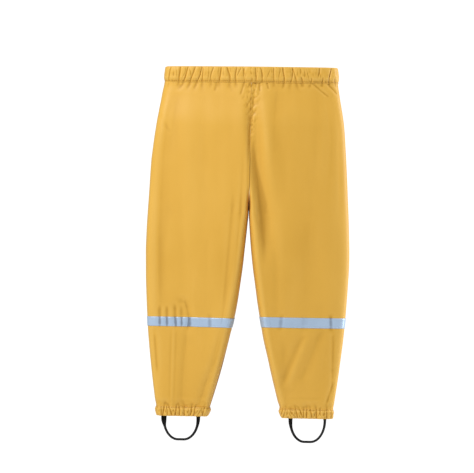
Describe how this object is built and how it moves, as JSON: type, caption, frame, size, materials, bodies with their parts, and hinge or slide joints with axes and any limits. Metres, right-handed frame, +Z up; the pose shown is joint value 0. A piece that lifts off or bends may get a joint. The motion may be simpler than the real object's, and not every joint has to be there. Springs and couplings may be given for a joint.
{
  "type": "waterproof over-trousers",
  "caption": "Child-size waterproof pull-on over-trousers with elastic waist, reflective calf tapes, gathered cuffs and swinging under-foot stirrup straps.",
  "frame": {"origin": "centre of the waist opening, level with the waistband's top edge", "axes": "+Z up along the standing wearer, front faces -Y, wearer's left is +X"},
  "size_m": [0.3496, 0.1008, 0.6409],
  "materials": {
    "coated_fabric": "mustard yellow coated waterproof cloth, soft sheen",
    "reflective_tape": "silver blue-grey retroreflective tape, satin",
    "strap_elastic": "black knitted elastic webbing, matte",
    "knitted_elastic": "white ribbed elastic, matte",
    "sewing_thread": "mustard polyester thread",
    "seam_tape": "translucent seam sealing tape, satin",
    "label_cloth": "white satin label cloth, blank"
  },
  "bodies": {
    "trousers": {"right_front_panel": "coated_fabric", "right_back_panel": "coated_fabric", "left_front_panel": "coated_fabric", "left_back_panel": "coated_fabric", "waistband_casing": "coated_fabric", "right_cuff_casing": "coated_fabric", "left_cuff_casing": "coated_fabric", "waist_elastic": "knitted_elastic", "right_cuff_elastic": "knitted_elastic", "left_cuff_elastic": "knitted_elastic", "waistband_stitching": "sewing_thread", "right_cuff_stitching": "sewing_thread", "left_cuff_stitching": "sewing_thread", "right_reflective_tape": "reflective_tape", "left_reflective_tape": "reflective_tape", "front_rise_seam_tape": "seam_tape", "back_rise_seam_tape": "seam_tape", "right_side_seam_tape": "seam_tape", "right_inseam_tape": "seam_tape", "left_side_seam_tape": "seam_tape", "left_inseam_tape": "seam_tape", "care_label": "label_cloth", "right_stirrup_outer_end": "strap_elastic", "right_stirrup_inner_end": "strap_elastic", "left_stirrup_outer_end": "strap_elastic", "left_stirrup_inner_end": "strap_elastic"},
    "right_stirrup": {"right_stirrup_strap": "strap_elastic"},
    "left_stirrup": {"left_stirrup_strap": "strap_elastic"}
  },
  "joints": [
    {"name": "right_stirrup_swing", "type": "hinge", "parent": "trousers", "child": "right_stirrup", "pos_m": [-0.107, -0.01514, -0.604], "axis": [1, 0, 0], "range_deg": [-80, 80]},
    {"name": "left_stirrup_swing", "type": "hinge", "parent": "trousers", "child": "left_stirrup", "pos_m": [0.107, -0.01514, -0.604], "axis": [1, 0, 0], "range_deg": [-80, 80]}
  ]
}
